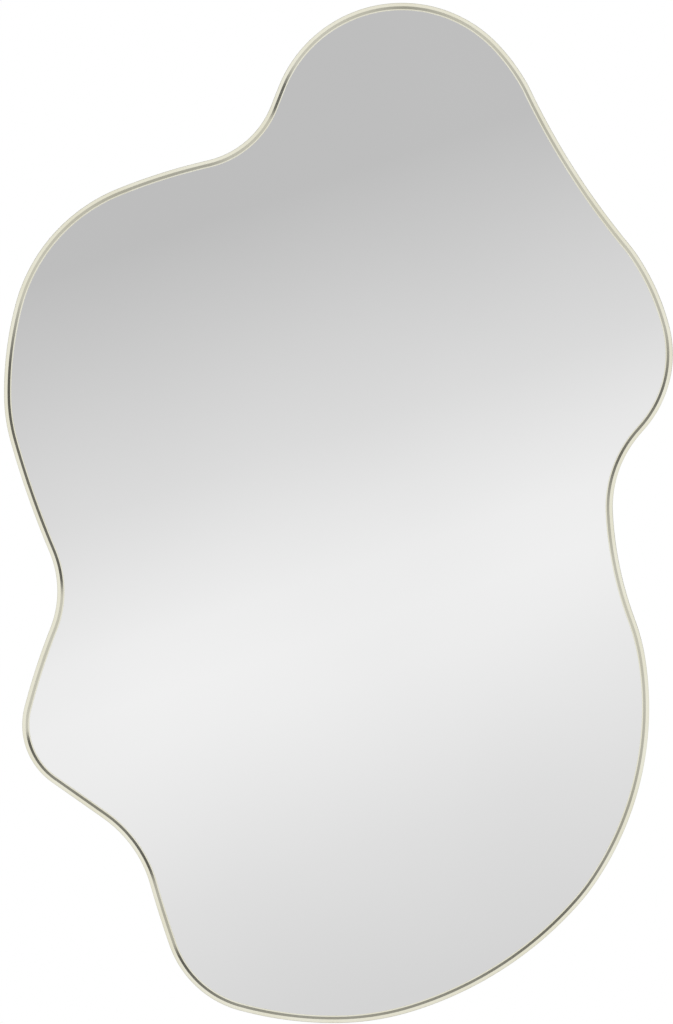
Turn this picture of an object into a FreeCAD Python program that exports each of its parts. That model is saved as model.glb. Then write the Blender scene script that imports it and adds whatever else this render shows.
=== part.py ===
"""Irregular wavy wall mirror: a plated steel band rim round float glass on a fibreboard back.

Frame: +X right as seen from the front, +Z up, the mirror faces -Y and the wall is the plane
y = 0. The origin lies on the wall, midway between the two points where the wall hooks carry
the hanger rings.
"""

import FreeCAD
import Part

import math
import os
from typing import NamedTuple

import Sketcher

V = FreeCAD.Vector

# The sides of the outline's box, which four of the circles touch.
LEFT, RIGHT, BOTTOM, TOP = "left", "right", "bottom", "top"


class Bend(NamedTuple):
    """One named circle of the outline, with the blend from it to the next one.

    x and z place its centre, from the left and the bottom of the outline as drawn, or name the
    side of the box that the circle touches. A hollow has its centre outside the mirror. blend
    is the radius of the arc to the next bend, 0 for a straight one, below 0 where it curves in.
    """

    name: str
    x: object
    z: object
    radius: float
    hollow: bool
    blend: float


# Anticlockwise as seen from the front, from the hollow left of the crown.
BENDS = [
    Bend("neck", 162, 838, 79, True, 529),
    Bend("temple", 157, 595, 152, False, 303),
    Bend("cheek", LEFT, 555, 156, False, 824),
    Bend("hollow", -42, 381, 89, True, 592),
    Bend("toe", 78, 263, 62, False, 0),
    Bend("arch", 26, 93, 107, True, 978),
    Bend("heel", 231, 98, 90, False, 317),
    Bend("belly", 292, BOTTOM, 232, False, 323),
    Bend("thigh", 365, 231, 190, False, 275),
    Bend("hip", 387, 293, 181, False, -315),
    Bend("waist", 635, 455, 98, True, 0),
    Bend("nose", RIGHT, 590, 100, False, 203),
    Bend("brow", 464, 614, 114, False, -663),
    Bend("shoulder", 376, 781, 98, False, 175),
    Bend("crown", 351, TOP, 117, False, 0),
]

# Where the steel tabs sit: the bend, whether on it or on the blend after it, and the direction
# in degrees from that arc's centre, anticlockwise from +X.
ON_BEND, ON_BLEND = 0, 1
TABS = [
    ("crown", ON_BEND, 60),
    ("crown", ON_BEND, 135),
    ("temple", ON_BEND, 140),
    ("cheek", ON_BEND, 188),
    ("toe", ON_BEND, 215),
    ("heel", ON_BEND, 232),
    ("belly", ON_BLEND, 300),
    ("thigh", ON_BLEND, 352),
    ("nose", ON_BEND, 350),
]

# Foam tape strips: middle from the left, height over the bottom and length, as drawn.
TAPES = [
    (350, 800, 130),
    (290, 660, 380),
    (290, 520, 420),
    (300, 330, 340),
    (330, 130, 270),
]

# Rubber bumpers: place from the left and over the bottom, as drawn.
BUMPERS = [(75, 600), (510, 600), (240, 90), (470, 160)]

SIZES = {
    # the outline's height, and the size at which its bends are drawn
    "outline_height": 900.0,
    "drawn_width": 590.0,
    "drawn_height": 900.0,
    # the hanging point, from the left and the bottom of the outline as drawn
    "plumb_line": 301.0,
    "hanging_height": 660.0,
    # rim section
    "rim_depth": 25.0,
    "rim_wall": 1.5,
    "lip_thickness": 2.5,
    "edge_chamfer": 0.7,
    "band_width": 3.4,
    "bevel_width": 1.7,
    "bevel_depth": 1.4,
    "land_width": 1.0,
    "rim_off_wall": 1.0,
    # the stack behind the lip
    "glass_thickness": 4.0,
    "glass_clearance": 0.5,
    "coat_thickness": 0.15,
    "film_thickness": 0.2,
    "film_inset": 3.0,
    "tape_thickness": 1.0,
    "tape_width": 25.0,
    "board_thickness": 9.0,
    "board_clearance": 1.0,
    # tabs welded inside the rim
    "weld_gap": 0.1,
    "tab_width": 15.0,
    "tab_thickness": 1.5,
    "tab_leg": 12.0,
    "tab_upright": 7.0,
    "tab_bend": 1.0,
    "tab_hole": 4.2,
    "tab_hole_inset": 7.0,
    # pan-head screws
    "screw_diameter": 3.5,
    "screw_in_board": 7.5,
    "screw_head_diameter": 7.0,
    "screw_head_height": 2.2,
    "head_chamfer": 1.2,
    "screw_fit": 0.05,
    "pilot_spare": 0.5,
    # hangers
    "hanger_spacing": 300.0,
    "strap_width": 14.0,
    "strap_length": 38.0,
    "strap_sheet": 1.0,
    "fold_gap": 0.2,
    "strap_corner": 3.0,
    "strap_hole": 4.2,
    "upper_screw": 12.0,
    "lower_screw": 30.0,
    "ring_wire": 3.0,
    "ring_inner_width": 20.0,
    "ring_reach": 18.0,
    "ring_corner": 4.0,
    "ring_play": 0.08,
    # wall bumpers
    "bumper_diameter": 13.0,
    "bumper_edge": 1.0,
}

doc = FreeCAD.newDocument("irregular_mirror")
sheet = doc.addObject("Spreadsheet::Sheet", "Sizes")
PARTS = []
ROWS = []


def cell(alias, content):
    """Writes one row of the sheet: the name, and the value or formula under that alias."""
    ROWS.append(alias)
    row = len(ROWS)
    sheet.set(f"A{row}", alias)
    sheet.set(f"B{row}", content)
    sheet.setAlias(f"B{row}", alias)


def size(alias):
    """The present value of a cell as a plain number. A minus before the name turns its sign."""
    if alias.startswith("-"):
        return -size(alias[1:])
    value = sheet.get(alias)
    return float(getattr(value, "Value", value))


def formula(alias):
    """How an object's property names a cell."""
    return f"-Sizes.{alias[1:]}" if alias.startswith("-") else f"Sizes.{alias}"


def fill_sheet():
    """Writes every driving size, then what follows from them."""
    for alias, value in SIZES.items():
        cell(alias, str(value))
    cell("outline_scale", "=outline_height / drawn_height")
    cell("outline_width", "=drawn_width * outline_scale")
    for bend in BENDS:
        cell(f"{bend.name}_radius", f"={bend.radius} * outline_scale")
        cell(f"{bend.name}_blend", f"={bend.blend} * outline_scale")
        across = {
            LEFT: f"={bend.name}_radius",
            RIGHT: f"=outline_width - {bend.name}_radius",
        }
        up = {
            BOTTOM: f"={bend.name}_radius",
            TOP: f"=outline_height - {bend.name}_radius",
        }
        cell(f"{bend.name}_x", across.get(bend.x, f"={bend.x} * outline_scale"))
        cell(f"{bend.name}_z", up.get(bend.z, f"={bend.z} * outline_scale"))
    cell("origin_x", "=plumb_line * outline_scale")
    cell("origin_z", "=hanging_height * outline_scale")
    # depths, all as distances in front of the wall
    cell("rim_front", "=rim_off_wall + rim_depth")
    cell("glass_front", "=rim_front - lip_thickness")
    cell("glass_rear", "=glass_front - glass_thickness")
    cell("coat_rear", "=glass_rear - coat_thickness")
    cell("film_rear", "=coat_rear - film_thickness")
    cell("tape_rear", "=film_rear - tape_thickness")
    cell("board_rear", "=tape_rear - board_thickness")
    cell("tab_rear", "=board_rear - tab_thickness")
    cell("strap_stack", "=2 * strap_sheet + fold_gap")
    cell("strap_rear", "=board_rear - strap_stack")
    # insets from the outline
    cell("glass_inset", "=rim_wall + glass_clearance")
    cell("film_edge", "=glass_inset + film_inset")
    cell("board_inset", "=rim_wall + board_clearance")
    # rim section
    cell("edge_start", "=rim_front - edge_chamfer")
    cell("bevel_foot", "=band_width + bevel_width")
    cell("land_front", "=rim_front - bevel_depth")
    cell("lip_width", "=bevel_foot + land_width")
    # tab section
    cell("tab_top", "=board_rear - tab_upright")
    cell("tab_outer_bend", "=tab_bend + tab_thickness")
    cell("tab_heel", "=board_rear - tab_outer_bend")
    cell("tab_bend_top", "=tab_rear - tab_bend")
    cell("tab_hole_radius", "=tab_hole / 2")
    # screws
    cell("screw_radius", "=screw_diameter / 2")
    cell("pilot_radius", "=screw_radius + screw_fit")
    cell("pilot_depth", "=screw_in_board + pilot_spare")
    cell("head_radius", "=screw_head_diameter / 2")
    cell("head_flat", "=head_radius - head_chamfer")
    cell("head_side", "=screw_head_height - head_chamfer")
    cell("tab_screw_length", "=tab_thickness + screw_in_board")
    cell("strap_screw_length", "=strap_stack + screw_in_board")
    # hanger: the eye is folded round the ring's bar
    cell("wire_radius", "=ring_wire / 2")
    cell("eye_inner", "=wire_radius + ring_play")
    cell("eye_outer", "=eye_inner + strap_sheet")
    cell("fold_face", "=eye_inner - fold_gap")
    cell("fold_drop", "=sqrt(eye_inner ^ 2 - fold_face ^ 2)")
    cell("flap_face", "=fold_face - strap_sheet")
    cell("flap_drop", "=sqrt(eye_outer ^ 2 - flap_face ^ 2)")
    cell("strap_hole_radius", "=strap_hole / 2")
    cell("bar_depth", "=board_rear - eye_outer")
    cell("bar_drop", "=ring_reach - wire_radius")
    cell("hanger_x", "=hanger_spacing / 2")
    cell("bow_radius", "=(ring_inner_width + ring_wire) / 2")
    cell("bar_half", "=bow_radius - ring_corner")
    cell("bow_start", "=ring_reach - bow_radius")
    # wall bumpers
    cell("bumper_radius", "=bumper_diameter / 2")
    cell("bumper_face", "=bumper_radius - bumper_edge")
    cell("bumper_side", "=board_rear - bumper_edge")
    doc.recompute()


def bind(thing, **formulas):
    """Ties properties of an object to the sheet. Two underscores stand for a dot."""
    for name, rule in formulas.items():
        path = name.replace("__", ".")
        start = "." if path.startswith("Placement") else ""
        thing.setExpression(start + path, rule)


def add(kind, name, **values):
    """Adds a document object and sets its plain properties."""
    thing = doc.addObject(kind, name)
    for key, value in values.items():
        setattr(thing, key, value)
    return thing


def finished(thing, label):
    """Names an object as one of the mirror's pieces."""
    thing.Label = label
    PARTS.append(thing)
    return thing


# How a sketch numbers the points of an arc or line, and its own two axes.
START, END, CENTRE = 1, 2, 3
X_AXIS, Y_AXIS = -1, -2


# ---------------------------------------------------------------- the outline


class Turn(NamedTuple):
    """A stretch of the outline: an arc (signed radius, below 0 for a hollow) or a line."""

    centre: V
    radius: float
    start: V
    end: V


def blend_normals(first, first_radius, second, second_radius, blend):
    """The left-hand normals where a blend leaves one circle and meets the next.

    Radii are signed, below 0 for a hollow. The blend is a line where its radius is 0.
    """
    along = second - first
    gap = along.Length
    along.normalize()
    left = V(-along.y, along.x, 0)
    if not blend:
        lean = (second_radius - first_radius) / gap
        normal = along * lean + left * math.sqrt(1 - lean**2)
        return normal, normal, None
    near, far = blend - first_radius, blend - second_radius
    reach = (near**2 - far**2 + gap**2) / (2 * gap)
    side = math.copysign(math.sqrt(near**2 - reach**2), blend)
    centre = first + along * reach + left * side
    return (centre - first) / near, (centre - second) / far, centre


def outline_turns():
    """The whole outline as arcs and lines, each tangent to the next."""
    centres = [V(size(f"{b.name}_x"), size(f"{b.name}_z"), 0) for b in BENDS]
    radii = [size(f"{b.name}_radius") * (-1 if b.hollow else 1) for b in BENDS]
    blends = [size(f"{b.name}_blend") for b in BENDS]
    count = len(BENDS)
    joins = []
    for i in range(count):
        k = (i + 1) % count
        joins.append(blend_normals(centres[i], radii[i], centres[k], radii[k], blends[i]))
    turns = []
    for i in range(count):
        k = (i + 1) % count
        arrive, (leave, meet, middle) = joins[i - 1][1], joins[i]
        start = centres[i] - arrive * radii[i]
        end = centres[i] - leave * radii[i]
        after = centres[k] - meet * radii[k]
        turns.append(Turn(centres[i], radii[i], start, end))
        turns.append(Turn(middle, blends[i], end, after))
    return turns


def turn_shape(turn):
    """The sketch geometry of one stretch. An arc always runs anticlockwise about its centre."""
    if turn.centre is None:
        return Part.LineSegment(turn.start, turn.end)
    first, last = (turn.start, turn.end) if turn.radius > 0 else (turn.end, turn.start)
    angles = [math.atan2((p - turn.centre).y, (p - turn.centre).x) for p in (first, last)]
    circle = Part.Circle(turn.centre, V(0, 0, 1), abs(turn.radius))
    return Part.ArcOfCircle(circle, *angles)


def draw_outline():
    """The master outline: fully constrained, with every centre and radius tied to the sheet."""
    sketch = add("Sketcher::SketchObject", "Outline")
    turns = outline_turns()
    for turn in turns:
        sketch.addGeometry(turn_shape(turn), False)
    for i, turn in enumerate(turns):
        k = (i + 1) % len(turns)
        leaving = START if turn.centre and turn.radius < 0 else END
        meeting = END if turns[k].centre and turns[k].radius < 0 else START
        sketch.addConstraint(Sketcher.Constraint("Tangent", i, leaving, k, meeting))
    for i, bend in enumerate(BENDS):
        arc, join = 2 * i, 2 * i + 1
        fixed = [
            ("DistanceX", (-1, 1, arc, CENTRE), turns[arc].centre.x, f"{bend.name}_x"),
            ("DistanceY", (-1, 1, arc, CENTRE), turns[arc].centre.y, f"{bend.name}_z"),
            ("Radius", (arc,), abs(turns[arc].radius), f"{bend.name}_radius"),
        ]
        if bend.blend:
            fixed.append(("Radius", (join,), abs(turns[join].radius), f"{bend.name}_blend"))
        for kind, where, value, alias in fixed:
            index = sketch.addConstraint(Sketcher.Constraint(kind, *where, value))
            rule = f"abs(Sizes.{alias})" if kind == "Radius" else f"Sizes.{alias}"
            sketch.setExpression(f"Constraints[{index}]", rule)
    stand_up(sketch)
    return sketch


def stand_up(sketch):
    """Turns a drawing of the front view upright, with its corner where the outline's box is."""
    sketch.Placement = FreeCAD.Placement(V(), FreeCAD.Rotation(V(1, 0, 0), 90))
    bind(sketch, Placement__Base__x="-Sizes.origin_x", Placement__Base__z="-Sizes.origin_z")


# ---------------------------------------------------------------- drawing profiles

class Point(NamedTuple):
    """A corner of a profile, each coordinate the name of a cell, or 0 on an axis.

    radius names the cell that holds the radius of an arc that ends here, and side is 1 where
    that arc runs anticlockwise. Where it is None, a straight line ends here.
    """

    x: object
    y: object
    radius: object = None
    side: int = 1
    large: bool = False


def number(name):
    """The value of a coordinate of a profile."""
    return size(name) if name else 0.0


def arc_between(start, end, radius, side, large):
    """An arc from start to end, anticlockwise where side is 1."""
    half = (end - start) * 0.5
    left = V(-half.y, half.x, 0)
    left.normalize()
    rise = math.sqrt(max(radius**2 - half.Length**2, 0))
    centre = start + half + left * (rise * side * (-1 if large else 1))
    first, last = (start, end) if side > 0 else (end, start)
    angles = [math.atan2((p - centre).y, (p - centre).x) for p in (first, last)]
    return Part.ArcOfCircle(Part.Circle(centre, V(0, 0, 1), radius), *angles)


def draw(sketch, points):
    """Draws a closed profile, each corner tied to the sheet, each arc by its radius."""
    places = [V(number(p.x), number(p.y), 0) for p in points]
    for i, point in enumerate(points):
        if point.radius:
            shape = arc_between(places[i - 1], places[i], size(point.radius), point.side, point.large)
        else:
            shape = Part.LineSegment(places[i - 1], places[i])
        sketch.addGeometry(shape, False)
    reversed_arc = [bool(p.radius) and p.side < 0 for p in points]
    for i, point in enumerate(points):
        k = (i + 1) % len(points)
        ends = START if reversed_arc[i] else END
        starts = END if reversed_arc[k] else START
        sketch.addConstraint(Sketcher.Constraint("Coincident", i, ends, k, starts))
        for name, axis, kind in ((point.x, Y_AXIS, "DistanceX"), (point.y, X_AXIS, "DistanceY")):
            if name:
                dimension(sketch, kind, (-1, 1, i, ends), name)
            else:
                sketch.addConstraint(Sketcher.Constraint("PointOnObject", i, ends, axis))
        if point.radius:
            dimension(sketch, "Radius", (i,), point.radius)
    return sketch


def dimension(sketch, kind, where, name):
    """Adds one dimension that follows a cell."""
    index = sketch.addConstraint(Sketcher.Constraint(kind, *where, size(name)))
    sketch.setExpression(f"Constraints[{index}]", formula(name))


def origin_plane(body, role):
    """One of a body's own three base planes."""
    return next(f for f in body.Origin.OriginFeatures if f.Role == role)


def body_sketch(body, name, role):
    """An empty sketch on one of the body's base planes."""
    sketch = body.newObject("Sketcher::SketchObject", name)
    sketch.AttachmentSupport = [(origin_plane(body, role), "")]
    sketch.MapMode = "FlatFace"
    return sketch


# ---------------------------------------------------------------- rim, glass and board

INTO_BOARD = FreeCAD.Rotation(V(1, 0, 0), 90)


def make_rim(outline):
    """The plated steel band: one section swept along the outline."""
    section = add("Sketcher::SketchObject", "RimSection")
    corners = [
        Point(0, "-rim_off_wall"),
        Point(0, "-edge_start"),
        Point("edge_chamfer", "-rim_front"),
        Point("band_width", "-rim_front"),
        Point("bevel_foot", "-land_front"),
        Point("lip_width", "-land_front"),
        Point("lip_width", "-glass_front"),
        Point("rim_wall", "-glass_front"),
        Point("rim_wall", "-rim_off_wall"),
    ]
    draw(section, corners)
    first = outline_turns()[0]
    inward = (first.centre - first.start) * math.copysign(1, first.radius)
    inward.normalize()
    start = V(first.start.x - size("origin_x"), 0, first.start.y - size("origin_z"))
    across = V(inward.x, 0, inward.y)
    axes = FreeCAD.Rotation(across, V(0, 1, 0), across.cross(V(0, 1, 0)), "XYZ")
    section.Placement = FreeCAD.Placement(start, axes)
    doc.recompute()
    rim = add("Part::Sweep", "Rim", Sections=[section], Spine=(outline, []), Solid=True)
    return finished(rim, "frame_rim")


def make_plate(outline, name, inset, rear, thickness):
    """A flat sheet of the outline's shape, set in from it, between two depths."""
    edge = add("Part::Offset2D", f"{name}Edge", Source=outline)
    bind(edge, Value=f"-Sizes.{inset}")
    plate = add("Part::Extrusion", name, Base=edge, DirMode="Custom", Dir=V(0, -1, 0), Solid=True)
    bind(plate, LengthFwd=f"Sizes.{thickness}", Placement__Base__y=f"-Sizes.{rear}")
    return plate


def make_tapes():
    """Foam tape strips that glue the glass's film to the board."""
    for i, (middle, height, length) in enumerate(TAPES, 1):
        strip = add("Part::Box", f"Tape{i}")
        bind(
            strip,
            Length=f"{length} * Sizes.outline_scale",
            Width="Sizes.tape_thickness",
            Height="Sizes.tape_width",
            Placement__Base__x=f"{middle - length / 2} * Sizes.outline_scale - Sizes.origin_x",
            Placement__Base__y="-Sizes.film_rear",
            Placement__Base__z=f"{height} * Sizes.outline_scale - Sizes.origin_z",
        )
        finished(strip, f"tape_strip_{i}")


def make_board(outline, screw_spots):
    """The fibreboard back, with a pilot hole for each screw."""
    plate = make_plate(outline, "BoardPlate", "board_inset", "board_rear", "board_thickness")
    drills = []
    for i, spot in enumerate(screw_spots, 1):
        drill = add("Part::Cylinder", f"Pilot{i}")
        bind(drill, Radius="Sizes.pilot_radius", Height="Sizes.pilot_depth")
        base = V(spot.x, -size("board_rear"), spot.z)
        drill.Placement = FreeCAD.Placement(base, INTO_BOARD)
        drills.append(drill)
    holes = add("Part::Compound", "Pilots", Links=drills)
    board = add("Part::Cut", "Board", Base=plate, Tool=holes)
    return finished(board, "backing_board")


# ---------------------------------------------------------------- tabs and screws


def wall_spot(bend_name, kind, direction):
    """Where a tab meets the rim's inner wall, its turn about Y, and the wall's radius there."""
    names = [bend.name for bend in BENDS]
    turn = outline_turns()[2 * names.index(bend_name) + kind]
    angle = math.radians(direction)
    radius = turn.radius - size("rim_wall") - size("weld_gap")
    spot = turn.centre + V(math.cos(angle), math.sin(angle), 0) * radius
    where = V(spot.x - size("origin_x"), 0, spot.y - size("origin_z"))
    return FreeCAD.Placement(where, FreeCAD.Rotation(V(0, 1, 0), -direction)), radius


def make_tabs():
    """Bent steel tabs that follow the rim's inner wall. Returns the places of their holes."""
    section = add("Sketcher::SketchObject", "TabSection")
    corners = [
        Point("-tab_leg", "-board_rear"),
        Point("-tab_outer_bend", "-board_rear"),
        Point(0, "-tab_heel", "tab_outer_bend"),
        Point(0, "-tab_top"),
        Point("-tab_thickness", "-tab_top"),
        Point("-tab_thickness", "-tab_bend_top"),
        Point("-tab_outer_bend", "-tab_rear", "tab_bend", -1),
        Point("-tab_leg", "-tab_rear"),
    ]
    draw(section, corners)
    spots = []
    for i, tab in enumerate(TABS, 1):
        place, radius = wall_spot(*tab)
        bent = add("Part::Revolution", f"TabStrip{i}", Source=section, Axis=V(0, 1, 0))
        bent.Base = V(-radius, 0, 0)
        bent.Symmetric = True
        bent.Solid = True
        bind(bent, Angle=f"Sizes.tab_width / {radius} * 180 / pi")
        hole = add("Part::Cylinder", f"TabHole{i}")
        bind(
            hole,
            Radius="Sizes.tab_hole_radius",
            Height="Sizes.board_rear",
            Placement__Base__x="-Sizes.tab_hole_inset",
        )
        hole.Placement.Rotation = INTO_BOARD
        cut = add("Part::Cut", f"Tab{i}", Base=bent, Tool=hole)
        cut.Placement = place
        finished(cut, f"frame_tab_{i}")
        spots.append(place.multVec(V(-size("tab_hole_inset"), 0, 0)))
    return spots


def screw_profile(name, length):
    """Half of a pan-head screw: the head's underside at 0, the shank forward along -Y."""
    profile = add("Sketcher::SketchObject", name)
    corners = [
        Point(0, f"-{length}"),
        Point("screw_radius", f"-{length}"),
        Point("screw_radius", 0),
        Point("head_radius", 0),
        Point("head_radius", "head_side"),
        Point("head_flat", "screw_head_height"),
        Point(0, "screw_head_height"),
    ]
    return draw(profile, corners)


def make_screws(label, profile, spots, seat):
    """Screws of one kind as one piece of separate solids, their heads seated at a depth."""
    screws = []
    for i, spot in enumerate(spots, 1):
        screw = add("Part::Revolution", f"{label}{i}", Source=profile, Axis=V(0, 1, 0))
        screw.Solid = True
        screw.Placement.Base = V(spot.x, -size(seat), spot.z)
        screws.append(screw)
    return finished(add("Part::Compound", f"{label}_set", Links=screws), label)


# ---------------------------------------------------------------- hangers and bumpers


def make_strap(side, sign):
    """The folded strap that holds the ring's bar against the board."""
    body = add("PartDesign::Body", f"Strap{side}")
    profile = body_sketch(body, f"StrapFold{side}", "YZ_Plane")
    corners = [
        Point("-eye_outer", 0, "eye_outer", 1, True),
        Point("-eye_outer", "-strap_length"),
        Point("-eye_inner", "-strap_length"),
        Point("-eye_inner", 0),
        Point("-fold_face", "-fold_drop", "eye_inner", -1, True),
        Point("-fold_face", "-strap_length"),
        Point("-flap_face", "-strap_length"),
        Point("-flap_face", "-flap_drop"),
    ]
    draw(profile, corners)
    pad = body.newObject("PartDesign::Pad", f"StrapPad{side}")
    pad.Profile = profile
    pad.Midplane = True
    bind(pad, Length="Sizes.strap_width")
    doc.recompute()
    holes = body_sketch(body, f"StrapHoles{side}", "XZ_Plane")
    for i, drop in enumerate(("-upper_screw", "-lower_screw")):
        holes.addGeometry(Part.Circle(V(0, size(drop), 0), V(0, 0, 1), size("strap_hole_radius")))
        holes.addConstraint(Sketcher.Constraint("PointOnObject", i, CENTRE, Y_AXIS))
        dimension(holes, "DistanceY", (-1, 1, i, CENTRE), drop)
        dimension(holes, "Radius", (i,), "strap_hole_radius")
    pocket = body.newObject("PartDesign::Pocket", f"StrapPocket{side}")
    pocket.Profile = holes
    pocket.Type = "ThroughAll"
    pocket.Midplane = True
    doc.recompute()
    if pocket.Shape.Volume >= pad.Shape.Volume:
        raise RuntimeError("the strap's screw holes cut nothing")
    foot = -size("strap_length")
    corner_edges = [
        f"Edge{i}"
        for i, edge in enumerate(pocket.Shape.Edges, 1)
        if abs(edge.BoundBox.YLength - size("strap_sheet")) < 1e-4
        and edge.BoundBox.ZMax < foot + 1e-4
        and edge.BoundBox.XLength < 1e-4
    ]
    fillet = body.newObject("PartDesign::Fillet", f"StrapCorners{side}")
    fillet.Base = (pocket, corner_edges)
    bind(fillet, Radius="Sizes.strap_corner")
    hang(body, sign)
    return finished(body, f"hanger_strap_{side}")


def hang(body, sign):
    """Puts a hanger's piece where the ring's bar lies."""
    bind(
        body,
        Placement__Base__x=f"{sign} * Sizes.hanger_x",
        Placement__Base__y="-Sizes.bar_depth",
        Placement__Base__z="-Sizes.bar_drop",
    )


def make_ring(side, sign):
    """The D-shaped wire ring: a straight bar in the strap's eye and a round bow above."""
    runs = []

    def bend(name, radius, centre_x, centre_z, start, sweep):
        """An arc of wire. start turns it about its centre, anticlockwise from +X, in degrees."""
        arc = add("Part::Torus", f"Ring{name}{side}", Angle3=sweep)
        arc.Placement.Rotation = FreeCAD.Rotation(V(0, 1, 0), -start) * INTO_BOARD
        bind(
            arc,
            Radius1=f"Sizes.{radius}",
            Radius2="Sizes.wire_radius",
            Placement__Base__x=centre_x,
            Placement__Base__z=centre_z,
        )
        runs.append(arc)

    def straight(name, length, base_x, base_z, axis):
        """A straight length of wire from its base."""
        run = add("Part::Cylinder", f"Ring{name}{side}")
        run.Placement.Rotation = FreeCAD.Rotation(V(0, 0, 1), axis)
        bind(
            run,
            Radius="Sizes.wire_radius",
            Height=length,
            Placement__Base__x=base_x,
            Placement__Base__z=base_z,
        )
        runs.append(run)

    leg = "Sizes.bow_start - Sizes.ring_corner"
    straight("Bar", "2 * Sizes.bar_half", "-Sizes.bar_half", "0", V(1, 0, 0))
    bend("CornerRight", "ring_corner", "Sizes.bar_half", "Sizes.ring_corner", 270, 90)
    straight("LegRight", leg, "Sizes.bow_radius", "Sizes.ring_corner", V(0, 0, 1))
    bend("Bow", "bow_radius", "0", "Sizes.bow_start", 0, 180)
    straight("LegLeft", leg, "-Sizes.bow_radius", "Sizes.ring_corner", V(0, 0, 1))
    bend("CornerLeft", "ring_corner", "-Sizes.bar_half", "Sizes.ring_corner", 180, 90)
    ring = add("Part::MultiFuse", f"Ring{side}", Shapes=runs, Refine=True)
    hang(ring, sign)
    return finished(ring, f"hanger_ring_{side}")


def make_bumpers():
    """Rubber pads glued to the board, which hold the rim just off the wall."""
    for i, (across, height) in enumerate(BUMPERS, 1):
        body = add("PartDesign::Body", f"Bumper{i}")
        profile = body_sketch(body, f"BumperProfile{i}", "XY_Plane")
        corners = [
            Point(0, 0),
            Point("bumper_radius", 0),
            Point("bumper_radius", "bumper_side"),
            Point("bumper_face", "board_rear"),
            Point(0, "board_rear"),
        ]
        draw(profile, corners)
        turned = body.newObject("PartDesign::Revolution", f"BumperTurn{i}")
        turned.Profile = profile
        turned.ReferenceAxis = (profile, ["V_Axis"])
        turned.Angle = 360
        bind(
            body,
            Placement__Base__x=f"{across} * Sizes.outline_scale - Sizes.origin_x",
            Placement__Base__y="-Sizes.board_rear",
            Placement__Base__z=f"{height} * Sizes.outline_scale - Sizes.origin_z",
        )
        finished(body, f"wall_bumper_{i}")


# ---------------------------------------------------------------- the whole mirror


def strap_screw_spots(sign):
    """The two screw places of one hanger."""
    bar = -size("bar_drop")
    across = sign * size("hanger_x")
    return [V(across, 0, bar - size(name)) for name in ("upper_screw", "lower_screw")]


def check_and_write():
    """Stops on any failed object, then writes each piece to a file named after it."""
    for thing in doc.Objects:
        if "Invalid" in thing.State or "Error" in thing.State:
            raise RuntimeError(f"{thing.Name} failed: {thing.State}")
    os.makedirs("parts", exist_ok=True)
    for piece in PARTS:
        shape = piece.Shape
        if shape.isNull() or not shape.isValid():
            raise RuntimeError(f"{piece.Label} has no valid shape")
        shape.exportStep(f"parts/{piece.Label}.step")
        print(f"{piece.Label}: {len(shape.Solids)} solid(s), {shape.Volume:.0f} mm3")


def main():
    """Builds every piece and writes it to a file of its own."""
    fill_sheet()
    outline = draw_outline()
    doc.recompute()
    make_rim(outline)
    finished(make_plate(outline, "Glass", "glass_inset", "glass_rear", "glass_thickness"), "mirror_glass")
    finished(make_plate(outline, "Coat", "glass_inset", "coat_rear", "coat_thickness"), "silver_coat")
    finished(make_plate(outline, "Film", "film_edge", "film_rear", "film_thickness"), "safety_film")
    make_tapes()
    tab_spots = make_tabs()
    sides = (("left", -1), ("right", 1))
    strap_spots = {side: strap_screw_spots(sign) for side, sign in sides}
    make_board(outline, tab_spots + strap_spots["left"] + strap_spots["right"])
    short = screw_profile("TabScrew", "tab_screw_length")
    long = screw_profile("StrapScrew", "strap_screw_length")
    make_screws("tab_screws", short, tab_spots, "tab_rear")
    for side, sign in sides:
        make_strap(side, sign)
        make_ring(side, sign)
        make_screws(f"hanger_screws_{side}", long, strap_spots[side], "strap_rear")
    make_bumpers()
    doc.recompute()
    box = outline.Shape.BoundBox
    centre = Part.Face(outline.Shape.Wires[0]).CenterOfMass
    print(f"outline {box.XLength:.1f} by {box.ZLength:.1f}, fixed: {outline.FullyConstrained}")
    print(f"centre of the face at {centre.x:.1f}, {centre.z:.1f} from the hanging point")
    check_and_write()


main()
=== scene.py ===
"""Looks for the irregular wavy wall mirror: plated steel rim, silvered glass, fibreboard back."""

from __future__ import annotations

import itertools
import logging
import math
from dataclasses import dataclass, field
from enum import Enum
from typing import Any, ClassVar, Iterable, Mapping, NamedTuple, Optional, Sequence

import bmesh
import bpy
from mathutils import Matrix, Vector


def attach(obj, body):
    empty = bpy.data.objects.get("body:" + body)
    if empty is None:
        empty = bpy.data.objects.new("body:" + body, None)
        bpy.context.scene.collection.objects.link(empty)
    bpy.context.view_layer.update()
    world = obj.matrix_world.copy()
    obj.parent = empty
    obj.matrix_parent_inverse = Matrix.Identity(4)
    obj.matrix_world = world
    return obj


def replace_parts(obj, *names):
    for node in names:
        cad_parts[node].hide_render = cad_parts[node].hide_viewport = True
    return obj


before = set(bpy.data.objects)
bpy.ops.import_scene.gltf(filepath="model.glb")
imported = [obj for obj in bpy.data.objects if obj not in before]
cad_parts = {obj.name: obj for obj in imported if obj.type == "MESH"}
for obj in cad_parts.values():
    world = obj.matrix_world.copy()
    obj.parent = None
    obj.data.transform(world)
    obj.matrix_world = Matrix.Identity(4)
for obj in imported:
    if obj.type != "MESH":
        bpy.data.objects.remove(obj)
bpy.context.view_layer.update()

LOG = logging.getLogger("wavy_mirror")
MM = 0.001
TO_FRONT = Vector((0, -1, 0))
PHOTO_HEIGHT = 1024  # pixels
PIXEL = 0.88214 * MM  # what a pixel of the photograph covers at the mirror's face


# ---------------------------------------------------------------- shader helpers


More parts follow.
